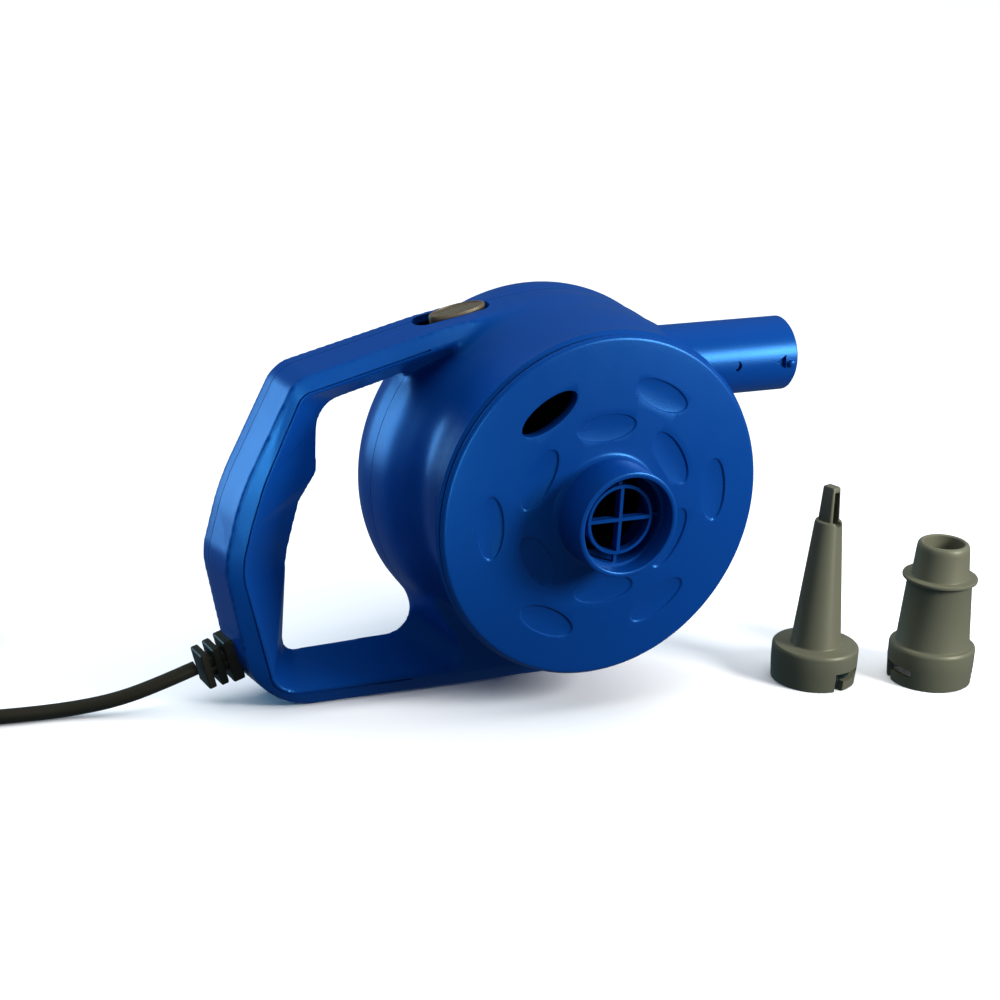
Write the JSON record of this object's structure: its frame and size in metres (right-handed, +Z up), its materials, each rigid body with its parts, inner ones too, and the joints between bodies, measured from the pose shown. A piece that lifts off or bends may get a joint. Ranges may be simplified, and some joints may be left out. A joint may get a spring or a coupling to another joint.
{
  "type": "electric air mattress pump",
  "caption": "Hand-held electric blower with a D-shaped handle, slide switch, front inlet, tangential outlet tube, mains cord and loose push-on nozzles.",
  "frame": {"origin": "on the floor, at the centre of the footprint of the pump and its loose nozzles, without the cord", "axes": "+X along the outlet tube, away from the handle; -Y the way the inlet faces; +Z up"},
  "size_m": [0.4372, 0.1733, 0.138],
  "materials": {
    "blue_plastic": "satin moulded plastic with a fine texture",
    "nozzle_plastic": "dark satin plastic",
    "knob_plastic": "dark satin plastic",
    "black_plastic": "satin moulded plastic",
    "cord_jacket": "satin flexible jacket",
    "steel": "plain",
    "core_steel": "stacked sheet steel",
    "copper": "enamelled copper wire",
    "brass": "plain",
    "carbon": "pressed carbon",
    "foam": "foam gasket",
    "white_plastic": "satin moulded plastic"
  },
  "bodies": {
    "pump_body": {"front_housing": "blue_plastic", "rear_housing": "blue_plastic", "front_cover": "blue_plastic", "inlet_guard": "blue_plastic", "housing_screws": "steel", "motor_plate": "black_plastic", "plate_gasket": "foam", "front_bearing": "brass", "rear_bearing": "brass", "stator_core": "core_steel", "field_coils": "copper", "rear_bracket": "black_plastic", "motor_sleeves": "steel", "motor_screws": "steel", "brush_holders": "brass", "brushes": "carbon", "brush_springs": "steel", "switch_body": "black_plastic", "suppressor": "white_plastic", "internal_leads": "cord_jacket", "strain_relief": "cord_jacket", "cord_end": "cord_jacket", "cord_clamp": "black_plastic", "clamp_screws": "steel", "cord_lead": "cord_jacket", "cord_coil": "cord_jacket", "coil_tie": "black_plastic", "cord_tail": "cord_jacket", "plug_body": "cord_jacket", "plug_blades": "brass"},
    "rotor": {"rotor_shaft": "steel", "impeller": "black_plastic", "impeller_washer": "steel", "impeller_nut": "brass", "cooling_fan": "white_plastic", "rotor_core": "core_steel", "rotor_windings": "copper", "commutator": "copper"},
    "slide_switch": {"switch_knob": "knob_plastic"},
    "pinch_nozzle": {"pinch_nozzle": "nozzle_plastic"},
    "stepped_nozzle": {"stepped_nozzle": "nozzle_plastic"}
  },
  "joints": [
    {"name": "rotor_spin", "type": "hinge", "parent": "pump_body", "child": "rotor", "pos_m": [-0.01451, 0.0108, 0.075], "axis": [0, -1, 0], "continuous": true},
    {"name": "switch_slide", "type": "slide", "parent": "pump_body", "child": "slide_switch", "axis": [-0.9826, 0, -0.1857], "range_m": [0, 0.006]},
    {"name": "pinch_nozzle_lift", "type": "slide", "parent": "pump_body", "child": "pinch_nozzle", "axis": [0, 0, 1], "range_m": [0, 0.08]},
    {"name": "stepped_nozzle_lift", "type": "slide", "parent": "pump_body", "child": "stepped_nozzle", "axis": [0, 0, 1], "range_m": [0, 0.08]}
  ]
}
